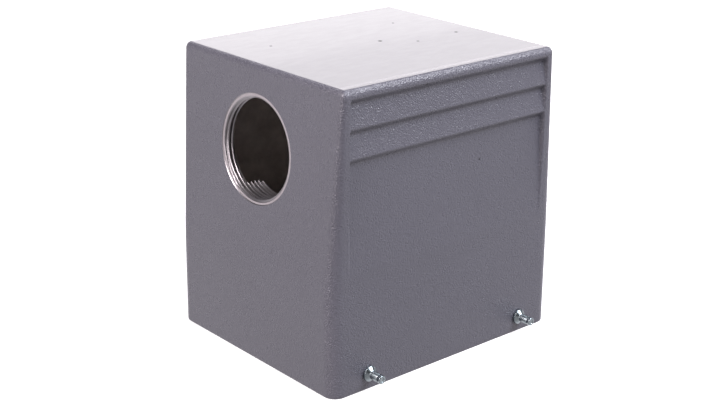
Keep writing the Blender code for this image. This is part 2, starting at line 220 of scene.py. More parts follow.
def pad(name, length, width, low, high, corner, edge=0.3 * MM):
    """Mesh of an upright block with round corners and softened edges."""
    rings = []
    for z, inset in ((low, edge), (low + SOFT * edge, SOFT * edge), (low + edge, 0.0),
                     (high - edge, 0.0), (high - SOFT * edge, SOFT * edge), (high, edge)):
        rings.append(rounded_ring(length - 2 * inset, width - 2 * inset,
                                  max(corner - inset, 0.1 * MM), z, steps=6))
    return skinned(name, rings, 40)


def box(name, x, y, half_x, half_y, low, high):
    """Plain upright box about a point, between two heights."""
    corners = ((-1, -1), (1, -1), (1, 1), (-1, 1))
    return skinned(name, [[Vector((x + i * half_x, y + j * half_y, z)) for i, j in corners]
                          for z in (low, high)])


def moved(mesh, matrix):
    """Move a mesh's points, and hand it back."""
    mesh.transform(matrix)
    return mesh


def joined(name, meshes, sharp):
    """One mesh of several."""
    bm = bmesh.new()
    for mesh in meshes:
        bm.from_mesh(mesh)
    return finish_mesh(name, bm, sharp)


def boolean(mesh, tools, operation):
    """Mesh after exact Booleans with each tool mesh."""
    target = bpy.data.objects.new("target", mesh)
    bpy.context.scene.collection.objects.link(target)
    helpers = []
    for tool in tools:
        helper = bpy.data.objects.new("tool", tool)
        bpy.context.scene.collection.objects.link(helper)
        helpers.append(helper)
        modifier = target.modifiers.new("cut", "BOOLEAN")
        modifier.object = helper
        modifier.operation = operation
        modifier.solver = "EXACT"
    depsgraph = bpy.context.evaluated_depsgraph_get()
    result = bpy.data.meshes.new_from_object(target.evaluated_get(depsgraph))
    for obj in [target] + helpers:
        bpy.data.objects.remove(obj, do_unlink=True)
    return result


def smoothstep(value):
    """0 below 0, 1 above 1, and an easy curve between."""
    t = min(max(value, 0.0), 1.0)
    return t * t * (3 - 2 * t)


# --------------------------------------------------------------------- materials

class Nodes:
    """Small helper that adds and links the nodes of one material."""

    def __init__(self, name):
        self.material = bpy.data.materials.new(name)
        self.material.use_nodes = True
        self.tree = self.material.node_tree
        self.shader = self.tree.nodes["Principled BSDF"]
        self.place = self.tree.nodes.new("ShaderNodeTexCoord").outputs["Object"]

    def add(self, kind, settings=None, **inputs):
        """New node; inputs are values or sockets, by input name."""
        node = self.tree.nodes.new(kind)
        for key, value in (settings or {}).items():
            setattr(node, key, value)
        for key, value in inputs.items():
            self.put(node.inputs[key.replace("_", " ")], value)
        return node

    def put(self, socket, value):
        """Link a socket, or set its value."""
        if isinstance(value, bpy.types.NodeSocket):
            self.tree.links.new(value, socket)
        else:
            socket.default_value = value

    def noise(self, scale, detail=2.0, rough=0.5, vector=None):
        """Noise value between 0 and 1."""
        node = self.add("ShaderNodeTexNoise", Vector=vector or self.place, Scale=scale,
                        Detail=detail, Roughness=rough)
        return node.outputs["Fac"]

    def stretched(self, scale):
        """Object coordinates, scaled by three factors."""
        return self.add("ShaderNodeMapping", Vector=self.place, Scale=scale).outputs["Vector"]

    def ramp(self, factor, stops):
        """Colour ramp over (position, colour) stops."""
        node = self.add("ShaderNodeValToRGB", Fac=factor)
        points = node.color_ramp.elements
        while len(points) < len(stops):
            points.new(0.5)
        for point, (position, color) in zip(points, stops):
            point.position = position
            point.color = color if isinstance(color, tuple) else (color, color, color, 1)
        return node.outputs["Color"]

    def fade(self, value, start, end):
        """0 where the value is start, 1 where it is end, and eased between."""
        node = self.add("ShaderNodeMapRange", {"interpolation_type": "SMOOTHSTEP"}, Value=value,
                        From_Min=start, From_Max=end)
        return node.outputs["Result"]

    def math(self, operation, first, second=0.5):
        """One Math node; ABSOLUTE doesn't look at the second value."""
        node = self.tree.nodes.new("ShaderNodeMath")
        node.operation = operation
        self.put(node.inputs[0], first)
        self.put(node.inputs[1], second)
        return node.outputs["Value"]

    def mix(self, factor, first, second):
        """Mix of two colours."""
        node = self.tree.nodes.new("ShaderNodeMix")
        node.data_type = "RGBA"
        self.put(node.inputs["Factor"], factor)
        self.put(node.inputs[6], first)
        self.put(node.inputs[7], second)
        return node.outputs[2]

    def bump(self, height, strength, distance, normal=None):
        """Bump node's normal."""
        node = self.add("ShaderNodeBump", Height=height, Strength=strength, Distance=distance)
        if normal is not None:
            self.tree.links.new(normal, node.inputs["Normal"])
        return node.outputs["Normal"]

    def shade(self, **inputs):
        """Set the Principled shader's inputs by name, and hand back the material."""
        for key, value in inputs.items():
            self.put(self.shader.inputs[key.replace("_", " ")], value)
        return self.material


def powder_coat():
    """Grey textured powder coat: sharp pebbled grain, rubbed nearly flat on the top.

    It has dark specks, and a painted highlight that lightens the corners towards the bottom.
    """
    n = Nodes("powder_coat")
    normal = n.add("ShaderNodeNewGeometry").outputs["Normal"]
    facing = n.add("ShaderNodeSeparateXYZ", Vector=normal).outputs
    place = n.add("ShaderNodeSeparateXYZ", Vector=n.place).outputs

    # where: the flat top, the top with its rounded edges, and the low corners, which carry a painted
    # highlight
    top = n.fade(facing["Z"], 0.94, 0.99)
    upper = n.fade(facing["Z"], 0.84, 0.93)
    corner = n.math("ABSOLUTE", n.math("MULTIPLY", facing["X"], facing["Y"]))
    corner_highlight_mask = n.math("MULTIPLY", corner, n.fade(place["Z"], 80 * MM, 15 * MM))
    corner_highlight_mask = n.math("MULTIPLY", corner_highlight_mask, 0.55)
    line = n.math("ABSOLUTE", n.math("SUBTRACT", n.math("ABSOLUTE", place["Y"]), TOP_LINE))
    line = n.math("MULTIPLY", top, n.math("LESS_THAN", line, TOP_LINE_HALF))

    # patterns: pebbles, streaks drawn along the top, wear across it, and slow drift
    cells = n.add("ShaderNodeTexVoronoi", {"feature": "SMOOTH_F1"}, Vector=n.place,
                  Scale=2000.0, Smoothness=0.3, Randomness=1.0).outputs["Distance"]
    pebble = n.math("SUBTRACT", n.math("ADD", n.noise(1600.0, 3.0, 0.6), 0.6), cells)
    streaks = n.noise(1.0, 3.0, 0.6, n.stretched((150.0, 420.0, 220.0)))
    patches = n.noise(1.0, 2.0, 0.5, n.stretched((8.0, 34.0, 8.0)))
    worn = n.math("ADD", n.math("MULTIPLY", patches, 0.25), n.math("MULTIPLY", place["Y"], 9.0))
    drift = n.noise(28.0, 3.0, 0.55)

    grain = n.ramp(pebble, [(0.35, (0.111, 0.108, 0.135, 1)), (0.95, (0.140, 0.137, 0.170, 1))])
    tone = n.ramp(drift, [(0.3, (0.119, 0.116, 0.144, 1)), (0.7, (0.131, 0.128, 0.159, 1))])
    sheen = n.ramp(streaks, [(0.35, (0.108, 0.102, 0.116, 1)), (0.65, (0.146, 0.138, 0.155, 1))])
    color = n.mix(n.math("MULTIPLY", top, 0.7), n.mix(0.5, grain, tone), sheen)
    color = n.mix(n.math("MULTIPLY", line, 0.35), color, (0.30, 0.29, 0.32, 1))
    # painted highlight: the low rounded corners are coloured lighter
    color = n.mix(corner_highlight_mask, color, (0.26, 0.25, 0.30, 1))

    rough = n.ramp(n.noise(300.0, 2.0), [(0.3, 0.26), (0.7, 0.33)])
    polished = n.ramp(worn, [(0.0, 0.33), (0.09, 0.322), (0.17, 0.302), (0.5, 0.285)])
    rough = n.mix(top, rough, polished)
    front = n.math("LESS_THAN", place["Y"], 0.0)
    scuffed = n.mix(front, (0.55, 0.55, 0.55, 1), (0.05, 0.05, 0.05, 1))
    rough = n.mix(n.math("MULTIPLY", line, 0.3), rough, scuffed)

    for centre, radius in PAINT_SPECKS:
        away = n.add("ShaderNodeVectorMath", {"operation": "DISTANCE"})
        n.put(away.inputs[0], n.place)
        n.put(away.inputs[1], centre)
        speck = n.add("ShaderNodeMapRange", Value=away.outputs["Value"], From_Min=0.5 * radius,
                      From_Max=radius, To_Min=1.0, To_Max=0.0).outputs["Result"]
        color = n.mix(speck, color, (0.012, 0.011, 0.012, 1))
        rough = n.mix(speck, rough, (1.0, 1.0, 1.0, 1))

    relief = n.math("SUBTRACT", 1.0, n.math("MULTIPLY", upper, 0.985))
    flow = n.bump(n.noise(120.0, 2.0), n.math("MULTIPLY", relief, 0.04), 0.25 * MM)
    rubbed = n.bump(streaks, n.math("MULTIPLY", top, 0.15), 0.10 * MM, flow)
    return n.shade(Base_Color=color, Roughness=rough, Specular_IOR_Level=0.9,
                   Normal=n.bump(pebble, relief, 0.165 * MM, rubbed))


def cast_inside():
    """Inside of the casting: grey overspray on die-cast metal, coloured pale as painted light for
    the dim inside.
    """
    n = Nodes("cast_inside")
    dust = n.noise(160.0, 4.0, 0.65)
    # painted light: the pale colour brightens the dim inside of the hood
    color = n.ramp(dust, [(0.3, (0.48, 0.43, 0.41, 1)), (0.7, (0.66, 0.60, 0.57, 1))])
    rough = n.ramp(n.noise(500.0, 2.0), [(0.3, 0.5), (0.7, 0.7)])
    return n.shade(Base_Color=color, Metallic=0.2, Roughness=rough,
                   Normal=n.bump(n.noise(900.0, 3.0, 0.6), 0.4, 0.10 * MM))


def bare_aluminium():
    """Machined aluminium with fine turning marks round the entry's axis."""
    n = Nodes("bare_aluminium")
    lines = n.noise(60.0, 2.0, 0.5, n.stretched((60.0, 1.0, 1.0)))
    stain = n.noise(180.0, 3.0, 0.6)
    color = n.ramp(stain, [(0.3, (0.36, 0.34, 0.35, 1)), (0.7, (0.48, 0.46, 0.475, 1))])
    rough = n.ramp(lines, [(0.3, 0.27), (0.7, 0.37)])
    normal = n.bump(lines, 0.03, 0.05 * MM)
    return n.shade(Base_Color=color, Metallic=1.0, Roughness=rough, Normal=normal)


def machined_face():
    """Spot-faced aluminium, matt with faint rings of the tool."""
    n = Nodes("machined_face")
    stain = n.noise(260.0, 3.0, 0.6)
    color = n.ramp(stain, [(0.3, (0.55, 0.505, 0.525, 1)), (0.7, (0.66, 0.61, 0.63, 1))])
    marks = n.noise(2400.0, 2.0, 0.5)
    rough = n.ramp(marks, [(0.3, 0.42), (0.7, 0.55)])
    return n.shade(Base_Color=color, Metallic=0.85, Roughness=rough,
                   Normal=n.bump(marks, 0.2, 0.04 * MM))


def zinc_steel():
    """Bright zinc plate with a faint blue-green cast and small stains."""
    n = Nodes("zinc_steel")
    cloud = n.noise(900.0, 3.0, 0.6)
    color = n.ramp(cloud, [(0.3, (0.34, 0.41, 0.43, 1)), (0.55, (0.43, 0.49, 0.51, 1)),
                           (0.75, (0.52, 0.56, 0.57, 1))])
    rough = n.ramp(n.noise(700.0, 2.0), [(0.3, 0.20), (0.7, 0.30)])
    normal = n.bump(n.noise(900.0, 2.0), 0.03, 0.03 * MM)
    return n.shade(Base_Color=color, Metallic=1.0, Roughness=rough, Normal=normal)


def nickel_plate():
    """Satin nickel plate, a little warm, with rolling marks."""
    n = Nodes("nickel_plate")
    lines = n.noise(90.0, 2.0, 0.5, n.stretched((1.0, 30.0, 1.0)))
    color = n.ramp(lines, [(0.3, (0.55, 0.52, 0.46, 1)), (0.7, (0.68, 0.65, 0.58, 1))])
    rough = n.ramp(n.noise(700.0, 2.0), [(0.3, 0.24), (0.7, 0.4)])
    return n.shade(Base_Color=color, Metallic=1.0, Roughness=rough,
                   Normal=n.bump(lines, 0.15, 0.04 * MM))


def silvered_contact():
    """Silver-plated contact metal with slight tarnish."""
    n = Nodes("silvered_contact")
    cloud = n.noise(600.0, 3.0, 0.6)
    color = n.ramp(cloud, [(0.3, (0.66, 0.62, 0.55, 1)), (0.7, (0.86, 0.84, 0.80, 1))])
    rough = n.ramp(n.noise(1500.0, 2.0), [(0.3, 0.14), (0.7, 0.28)])
    return n.shade(Base_Color=color, Metallic=1.0, Roughness=rough,
                   Normal=n.bump(n.noise(5000.0, 1.0), 0.08, 0.02 * MM))


def grey_plastic():
    """Glass-filled moulding plastic: fine matt grain and faint flow marks."""
    n = Nodes("grey_plastic")
    flow = n.noise(45.0, 4.0, 0.6, n.stretched((0.35, 1.0, 1.0)))
    color = n.ramp(flow, [(0.3, (0.36, 0.36, 0.34, 1)), (0.7, (0.43, 0.43, 0.41, 1))])
    rough = n.ramp(n.noise(400.0, 2.0), [(0.3, 0.42), (0.7, 0.55)])
    normal = n.bump(n.noise(2600.0, 3.0, 0.6), 0.2, 0.05 * MM)
    return n.shade(Base_Color=color, Roughness=rough, Normal=normal)


COAT = powder_coat()
INSIDE = cast_inside()
ALUMINIUM = bare_aluminium()
MACHINED = machined_face()
ZINC = zinc_steel()
NICKEL = nickel_plate()
SILVER = silvered_contact()
PLASTIC = grey_plastic()


# ------------------------------------------------------------------ hood casting

def waist_share(z):
    """How far above the waist, in heights of the leaning part, eased at the waist."""
    span = HEIGHT - WAIST_HEIGHT
    above = z - WAIST_HEIGHT
    if abs(above) < WAIST_BLEND:
        return (above + WAIST_BLEND) ** 2 / (4 * WAIST_BLEND) / span
    return max(above, 0.0) / span


def outer_size(z):
    """Length, width and corner radius of the hood at a height."""
    low = min(z / WAIST_HEIGHT, 1.0)
    high = waist_share(z)
    length = MOUTH_LENGTH + low * (WAIST_LENGTH - MOUTH_LENGTH)
    width = MOUTH_WIDTH + low * (WAIST_WIDTH - MOUTH_WIDTH)
    length += high * (TOP_LENGTH - WAIST_LENGTH)
    width += high * (TOP_WIDTH - WAIST_WIDTH)
    return length, width, LOW_CORNER + high * (TOP_CORNER - LOW_CORNER)


def band_profile(z):
    """Depth of the bands and the panel behind the long side's face, with sharp corners."""
    corners = [(PANEL_END, 0.0), (BAND_TOPS[2] - LEDGE_HEIGHT, BAND_DEPTH), (BAND_TOPS[2], BAND_LIP),
               (BAND_TOPS[1] - LEDGE_HEIGHT, BAND_DEPTH), (BAND_TOPS[1], BAND_LIP),
               (BAND_TOPS[0] - LEDGE_HEIGHT, BAND_DEPTH), (BAND_TOPS[0], 0.0)]
    for (low, start), (high, end) in zip(corners, corners[1:]):
        if low <= z <= high:
            return start + (end - start) * (z - low) / (high - low)
    return 0.0


def band_depth(x, z):
    """Depth of the recess at a point of the long side, with rounded edges."""
    step = 2 * BAND_ROUNDING / (BAND_SAMPLES - 1)
    total = sum(band_profile(z - BAND_ROUNDING + i * step) for i in range(BAND_SAMPLES))
    return total / BAND_SAMPLES * smoothstep((RECESS_HALF - abs(x)) / RECESS_FLANK)


def long_side_columns():
    """X of the mesh columns on a long side, close together at the recess's ends."""
    near = [RECESS_HALF + 0.25 * MM - i * FINE_STEP for i in range(FINE_COLUMNS)]
    middle = [(i - (COARSE_COLUMNS - 1) / 2) * COARSE_STEP for i in range(COARSE_COLUMNS)]
    return sorted(set(near + [-x for x in near] + middle))


def hood_rows():
    """Heights of the mesh rows, close together at every ledge."""
    rows = [2 * MM, 8 * MM, 16 * MM, 24 * MM, 30 * MM]
    rows += [WAIST_HEIGHT + i * WAIST_BLEND / 4 for i in range(-4, 5)]
    rows += [PANEL_END + i * MM for i in (-0.5, 0, 0.5, 1.0, 2.0, 5.0, 10.0, 18.0, 26.0, 33.0)]
    for top in BAND_TOPS:
        rows += [top + i * FINE_STEP for i in range(-18, 5)]
        rows += [top + 2.2 * MM, top + 4.5 * MM]
    limit = HEIGHT - TOP_EDGE - 0.1 * MM
    return sorted(z for z in set(rows) if z < limit)


def hood_ring(z, inset=0.0, rise=0.0):
    """One row of the outside. A row that is inset, for a rounded edge, has no bands.

    The top edge's rows keep the plan of the row where the edge starts, rise below them.
    """
    length, width, radius = outer_size(z - rise)
    length -= 2 * inset
    width -= 2 * inset
    radius = max(radius - inset, 0.3 * MM)
    corners = rounded_ring(length, width, radius, z)
    count = CORNER_STEPS + 1
    columns = long_side_columns()
    share = 1.0 if inset == 0.0 else 0.0
    back = [Vector((x, width / 2 - share * band_depth(x, z), z)) for x in reversed(columns)]
    front = [Vector((x, -width / 2 + share * band_depth(x, z), z)) for x in columns]
    return corners[:count] + back + corners[count:3 * count] + front + corners[3 * count:]


def hood_skin():
    """Outside of the casting, closed below across the mouth and above by the top."""
    rings = []
    for step in range(RIM_STEPS + 1):
        angle = math.pi / 2 * step / RIM_STEPS
        rings.append(hood_ring(RIM_EDGE * (1 - math.cos(angle)), RIM_EDGE * (1 - math.sin(angle))))
    rings += [hood_ring(z) for z in hood_rows()]
    reach = math.radians(TOP_EDGE_TURN)
    start = HEIGHT - TOP_EDGE * math.sin(reach)
    for step in range(TOP_EDGE_STEPS + 1):
        angle = reach * step / TOP_EDGE_STEPS
        rise = TOP_EDGE * math.sin(angle)
        rings.append(hood_ring(start + rise, TOP_EDGE * (1 - math.cos(angle)), rise))
    inset = TOP_EDGE * (1 - math.cos(reach)) + TOP_EDGE_END
    rings.append(hood_ring(HEIGHT, inset, HEIGHT - start))
    return skinned("hood_shell", rings, 50)


def cavity():
    """Hollow of the casting, wider just inside the mouth."""
    roof = HEIGHT - ROOF
    stations = ((-MOUTH_DRAFT, MOUTH_WALL - MOUTH_DRAFT), (MOUTH_DRAFT, MOUTH_WALL),
                (MOUTH_DEPTH, MOUTH_WALL), (MOUTH_DEPTH + MOUTH_DRAFT, WALL), (WAIST_HEIGHT, WALL),
                (roof - ROOF_FILLET, WALL), (roof - SOFT * ROOF_FILLET, WALL + SOFT * ROOF_FILLET),
                (roof, WALL + ROOF_FILLET))
    rings = []
    for z, wall in stations:
        length, width, _ = outer_size(max(z, 0.0))
        rings.append(rounded_ring(length - 2 * wall, width - 2 * wall, INNER_CORNER, z))
    return skinned("cavity", rings)


def entry_frame():
    """Placement of the cable entry: local Z points out, square to the leaning end face."""
    centre = Vector((-outer_size(ENTRY_HEIGHT)[0] / 2, 0.0, ENTRY_HEIGHT))
    return Matrix.Translation(centre) @ Matrix.Rotation(-math.pi / 2 + ENTRY_LEAN, 4, "Y")


def lugs():
    """Lugs on the end walls for the fixing screws, with soft edges."""
    outline = [(LUG_INNER, LUG_LOW), (END_WALL, LUG_LOW), (END_WALL, LUG_TOP),
               (LUG_SLOPE_END, LUG_TOP), (LUG_INNER, LUG_TIP)]
    meshes = []
    for side in (-1, 1):
        for span in LUG_SPANS:
            bm = bmesh.new()
            add_skin(bm, [[Vector((side * x, y, z)) for x, z in outline] for y in span])
            bmesh.ops.recalc_face_normals(bm, faces=bm.faces)
            bmesh.ops.bevel(bm, geom=bm.edges[:], offset=LUG_EDGE, segments=3, profile=0.5,
                            affect="EDGES", clamp_overlap=True)
            meshes.append(finish_mesh("lug", bm, 50))
    return meshes


def column():
    """Column under the cable entry, filleted to the end wall."""
    angles = [math.pi / 2 * step / COLUMN_STEPS for step in range(COLUMN_STEPS + 1)]
    outline = [(-END_WALL, COLUMN_HALF + COLUMN_FOOT)]
    for angle in angles:
        outline.append((-END_WALL + COLUMN_ROOT + COLUMN_FOOT * (1 - math.cos(angle)),
                        COLUMN_HALF + COLUMN_FOOT * (1 - math.sin(angle))))
    for angle in angles:
        outline.append((-COLUMN_INNER - COLUMN_EDGE * (1 - math.sin(angle)),
                        COLUMN_HALF - COLUMN_EDGE * (1 - math.cos(angle))))
    outline += [(x, -y) for x, y in reversed(outline)]
    return skinned("column", [[Vector((x, y, z)) for x, y in outline]
                              for z in (COLUMN_LOW, COLUMN_TOP)], 50)


def fixing_places():
    """Name, X and Y of the eight fixing screws, from their CAD nodes."""
    places = []
    for insert in ("front", "back"):
        for number in range(1, 5):
            low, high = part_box(f"fixing_screw_{insert}_{number}")
            places.append((f"{insert}_{number}", (low[0] + high[0]) / 2, (low[1] + high[1]) / 2))
    return places


def facing_out(side):
    """Turn that points local Z out of a long side: -1 is the front, 1 the back."""
    return Matrix.Rotation(-side * math.pi / 2, 4, "X")


def peg_places():
    """Name and placement of the four locking pegs, from their CAD nodes."""
    places = []
    for row, side in (("front", -1), ("back", 1)):
        for label in ("left", "right"):
            low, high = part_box(f"locking_peg_{row}_{label}")
            x = (low[0] + high[0]) / 2
            z = (low[2] + high[2]) / 2
            face = Matrix.Translation((x, side * outer_size(z)[1] / 2, z))
            places.append((f"{row}_{label}", face @ facing_out(side)))
    return places


def thread_plug():
    """Tool that cuts the machined ring and the conduit thread, as a closed screw form."""
    rim = ENTRY_RING + ENTRY_RING_FLARE
    rings = [circle(rim, 5 * MM, THREAD_SIDES), circle(rim, HAIR, THREAD_SIDES),
             circle(ENTRY_RING, -ENTRY_RING_DEPTH, THREAD_SIDES)]
    row_height = ENTRY_PITCH / THREAD_ROWS
    for row in range(int((ENTRY_REACH - ENTRY_RING_DEPTH) / row_height) + 1):
        below_ring = row * row_height
        depth = ENTRY_RING_DEPTH + below_ring
        chamfer = ENTRY_CREST + max(ENTRY_CHAMFER - CHAMFER_SLOPE * below_ring, 0.0)
        ring = []
        for i in range(THREAD_SIDES):
            turns = depth / ENTRY_PITCH + i / THREAD_SIDES + THREAD_START
            groove = 0.5 + 0.5 * math.cos(TAU * turns)
            radius = max(ENTRY_CREST + (ENTRY_ROOT - ENTRY_CREST) * groove, chamfer)
            angle = TAU * i / THREAD_SIDES
            ring.append(Vector((radius * math.cos(angle), radius * math.sin(angle), -depth)))
        rings.append(ring)
    return moved(skinned("thread_plug", list(reversed(rings))), entry_frame())


def is_inside(place):
    """Whether a point of the casting lies well behind its outer faces."""
    length, width, _ = outer_size(place.z)
    return (abs(place.x) < length / 2 - SKIN and abs(place.y) < width / 2 - SKIN
            and place.z < HEIGHT - SKIN)


THREAD_SLOT, RING_SLOT, INSIDE_SLOT = 1, 2, 3     # the casting's material slots after its paint


def bare_faces(mesh):
    """Give the thread, the ring and the inside of the casting their own materials.

    The ring's wall, which spans part of its depth, takes the thread's material.
    """
    inverse = entry_frame().inverted()
    places = [inverse @ vertex.co for vertex in mesh.vertices]
    spans = [(math.hypot(place.x, place.y), place.z) for place in places]
    for face in mesh.polygons:
        radii = [spans[i][0] for i in face.vertices]
        levels = [spans[i][1] for i in face.vertices]
        deepest = min(levels)
        thread = max(radii) < ENTRY_ROOT + HAIR and deepest > -ENTRY_REACH - MM
        ring = (max(radii) < ENTRY_RING + ENTRY_RING_FLARE + HAIR
                and deepest > -1.2 * ENTRY_RING_DEPTH)
        wall = (min(radii) > ENTRY_RING - HAIR and deepest < -0.9 * ENTRY_RING_DEPTH
                and max(levels) - deepest > 0.2 * ENTRY_RING_DEPTH)
        if thread or (ring and wall):
            face.material_index = THREAD_SLOT
        elif ring:
            face.material_index = RING_SLOT
        elif all(is_inside(mesh.vertices[i].co) for i in face.vertices):
            face.material_index = INSIDE_SLOT


def build_hood():
    """The casting: skin, hollow, lugs, column, threaded entry and holes."""
    skin = boolean(hood_skin(), [cavity()], "DIFFERENCE")
    skin = boolean(skin, lugs() + [column()], "UNION")
    holes = [thread_plug()]
    for _, x, y in fixing_places():
        tapped = turned("tapped", in_mm((2.35, 21.9), (2.05, 22.8), (2.05, 31.5)), 32)
        holes.append(moved(tapped, Matrix.Translation((x, y, 0))))
    for _, place in peg_places():
        holes.append(moved(turned("seat", in_mm((2.0, -6.0), (2.0, 3.0)), 32), place))
    mesh = smooth(boolean(skin, holes, "DIFFERENCE"), 38)
    shell = link("hood_shell", mesh, COAT, ALUMINIUM, MACHINED, INSIDE)
    bare_faces(mesh)
    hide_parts("hood_housing")
    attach(shell, "root")


build_hood()


# ------------------------------------------------------------------ locking pegs

def peg_mesh():
    """Turned peg: riveted end, shank, collar with a coned face, stem and a hollowed tip."""
    profile = in_mm((0.1, -3.75), (1.3, -3.68), (2.0, -3.5), (2.4, -3.22), (1.9, -3.15),
                    (1.9, 0.1), (2.6, 0.1))
    profile += arc(2.6, 0.3, 0.2, -90, 0, 4)
    profile += arc(2.65, 0.82, 0.15, 0, 50, 4)
    profile += arc(1.75, 2.05, 0.25, 230, 180, 4)
    profile += in_mm((1.5, 5.2), (1.44, 5.3), (1.44, 5.5), (1.5, 5.6))
    profile += arc(1.2, 6.6, 0.3, 0, 90, 6)
    profile += in_mm((0.85, 6.9), (0.72, 6.7), (0.12, 6.55))
    return turned("locking_peg", profile, sharp=32)


for peg_name, peg_place in peg_places():
    peg = link(f"peg_{peg_name}", moved(peg_mesh(), peg_place), ZINC)
    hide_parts(f"locking_peg_{peg_name}")
    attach(peg, "root")


# ------------------------------------------------------------------ plug inserts

CONTACT_PITCH = 7.6 * MM
CONTACT_COLUMNS = 8
ROW_HALF = 6.0 * MM             # from an insert's middle to a row of contacts
FLANGE = (84.5 * MM, 34.0 * MM)         # length and width
FLANGE_LOW = 18.8 * MM
FLANGE_TOP = 22.0 * MM
PEDESTAL = (66.0 * MM, 23.5 * MM)
PEDESTAL_LOW = 15.8 * MM
BLOCK = (64.0 * MM, 28.5 * MM)
BLOCK_LOW = 20.4 * MM
BLOCK_TOP = 44.0 * MM
RIB_Y = 14.0 * MM               # ribs between the terminals, on the block's long faces
RIB_LOW = 24.0 * MM
RIB_TOP = 35.0 * MM
KEY_X = 33.5 * MM               # coding notches at the pedestal's ends
FIXING_X = 38.75 * MM
FIXING_Y = 13.5 * MM
TERMINAL_Z = 39.2 * MM
TERMINAL_DEPTH = 2.7 * MM       # from a contact's axis out to its screw's seat
TERMINAL_TURN = 0.7             # radians from one screw's slot to the next one's


def contact_places():
    """X and Y of the sixteen contacts about an insert's middle."""
    return [((column - (CONTACT_COLUMNS - 1) / 2) * CONTACT_PITCH, side * ROW_HALF)
            for side in (-1, 1) for column in range(CONTACT_COLUMNS)]


def insert_mesh():
    """Moulded contact carrier about its own middle line."""
    body = pad("flange", *FLANGE, FLANGE_LOW, FLANGE_TOP, 1.8 * MM, 0.35 * MM)
    adds = [pad("block", *BLOCK, BLOCK_LOW, BLOCK_TOP, 1.6 * MM, 0.6 * MM),
            pad("pedestal", *PEDESTAL, PEDESTAL_LOW, BLOCK_LOW, 2.2 * MM, 0.4 * MM)]
    cuts = [box("groove", 0, 0, 31.0 * MM, 0.6 * MM, 41.5 * MM, 45 * MM)]
    for side in (-1, 1):
        for column in range(CONTACT_COLUMNS + 1):
            x = (column - CONTACT_COLUMNS / 2) * CONTACT_PITCH
            adds.append(box("rib", x, side * RIB_Y, 0.6 * MM, 0.5 * MM, RIB_LOW, RIB_TOP))
        cuts.append(box("key", side * KEY_X, 0, 1.6 * MM, 2.0 * MM, 15 * MM, 17.4 * MM))
        well = pad("well", 62.0 * MM, 8.6 * MM, 14.5 * MM, 16.5 * MM, 1.5 * MM)
        cuts.append(moved(well, Matrix.Translation((0, side * ROW_HALF, 0))))
    body = boolean(body, adds, "UNION")
    for x, y in contact_places():
        chamber = turned("chamber", in_mm((1.5, 15.0), (1.5, 35.1), (2.8, 35.1), (2.8, 43.2),
                                          (3.4, 44.2)), 28)
        cuts.append(moved(chamber, Matrix.Translation((x, y, 0))))
        window = turned("window", in_mm((1.75, 0.0), (1.75, 7.4), (2.4, 8.6)), 28)
        turn = facing_out(math.copysign(1, y))
        cuts.append(moved(window, Matrix.Translation((x, y, TERMINAL_Z)) @ turn))
    for x in (-FIXING_X, FIXING_X):
        for y in (-FIXING_Y, FIXING_Y):
            hole = turned("hole", in_mm((2.7, 18.5), (2.3, 19.2), (2.3, 23.0)), 32)
            cuts.append(moved(hole, Matrix.Translation((x, y, 0))))
    return smooth(boolean(body, cuts, "DIFFERENCE"), 38)


def contact_mesh():
    """Turned pin with a round nose, a shoulder, and a clamp barrel with a wire hole."""
    pin, clamp, top = 1.25, 2.6, 43.0
    profile = in_mm((0.15, 3.6))
    profile += arc(0.45, 4.15, 0.5, -80, -15, 5)
    profile += in_mm((pin, 5.5), (pin, 13.6), (pin - 0.12, 13.9), (pin - 0.12, 14.5), (pin, 14.8),
                     (pin, 35.5), (clamp - 0.3, 35.5), (clamp, 35.8), (clamp, top - 0.3),
                     (clamp - 0.3, top), (1.9, top), (1.6, 42.6), (1.6, 37.4), (0.1, 36.9))
    return turned("contact", profile, 28, sharp=30)


def slotted(name, mesh, half_width, low, high):
    """Mesh with a screwdriver slot across X between two heights."""
    cut = box("slot", 0, 0, 20 * MM, half_width, low, high)
    result = smooth(boolean(mesh, [cut], "DIFFERENCE"), 32)
    result.name = name
    return result


def small_screw_mesh():
    """Terminal screw that looks out of the insert's side: local Z points out."""
    head = turned("terminal", in_mm((1.3, 0.0), (1.3, 2.6), (1.55, 2.7), (1.55, 4.3), (1.35, 4.6),
                                    (0.1, 4.7)), 24)
    return slotted("terminal_screw", head, 0.22 * MM, 3.9 * MM, 6 * MM)


def build_inserts():
    """Both inserts with their contacts and terminal screws."""
    carrier = insert_mesh()
    contact = contact_mesh()
    screw = small_screw_mesh()
    for name in ("front", "back"):
        low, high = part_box(f"insert_{name}")
        middle = (low[1] + high[1]) / 2
        insert = link(f"carrier_{name}", carrier.copy(), PLASTIC)
        insert.location = (0, middle, 0)
        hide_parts(f"insert_{name}")
        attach(insert, "root")
        screws = []
        for number, (x, y) in enumerate(contact_places(), start=1):
            pin = link(f"pin_{name}_{number:02d}", contact.copy(), SILVER)
            pin.location = (x, middle + y, 0)
            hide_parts(f"contact_{name}_{number:02d}")
            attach(pin, "root")
            side = math.copysign(1, y)
            seat = Matrix.Translation((x, middle + y + side * TERMINAL_DEPTH, TERMINAL_Z))
            slot_turn = Matrix.Rotation(TERMINAL_TURN * number, 4, "Z")
            screws.append(moved(screw.copy(), seat @ facing_out(side) @ slot_turn))
        terminals = link(f"terminal_screws_{name}", joined("terminals", screws, 32), ZINC)
        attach(terminals, "root")


def plate_mesh():
    """Stamped ground plate with a folded terminal post."""
    plate = pad("plate", 9.2 * MM, 15.5 * MM, 22.3 * MM, 23.6 * MM, 1.0 * MM, 0.2 * MM)
    post = pad("post", 5.5 * MM, 9.0 * MM, 22.9 * MM, 36.0 * MM, 0.8 * MM)
    body = boolean(plate, [post], "UNION")
    wire = turned("wire", in_mm((1.9, -8.0), (1.9, 8.0)), 28)
    wire = moved(wire, Matrix.Translation((0, 0, 28.5 * MM)) @ facing_out(-1))
    drilled = turned("drilled", in_mm((1.7, 30.0), (1.7, 37.0)), 28)
    return smooth(boolean(body, [wire, drilled], "DIFFERENCE"), 35)


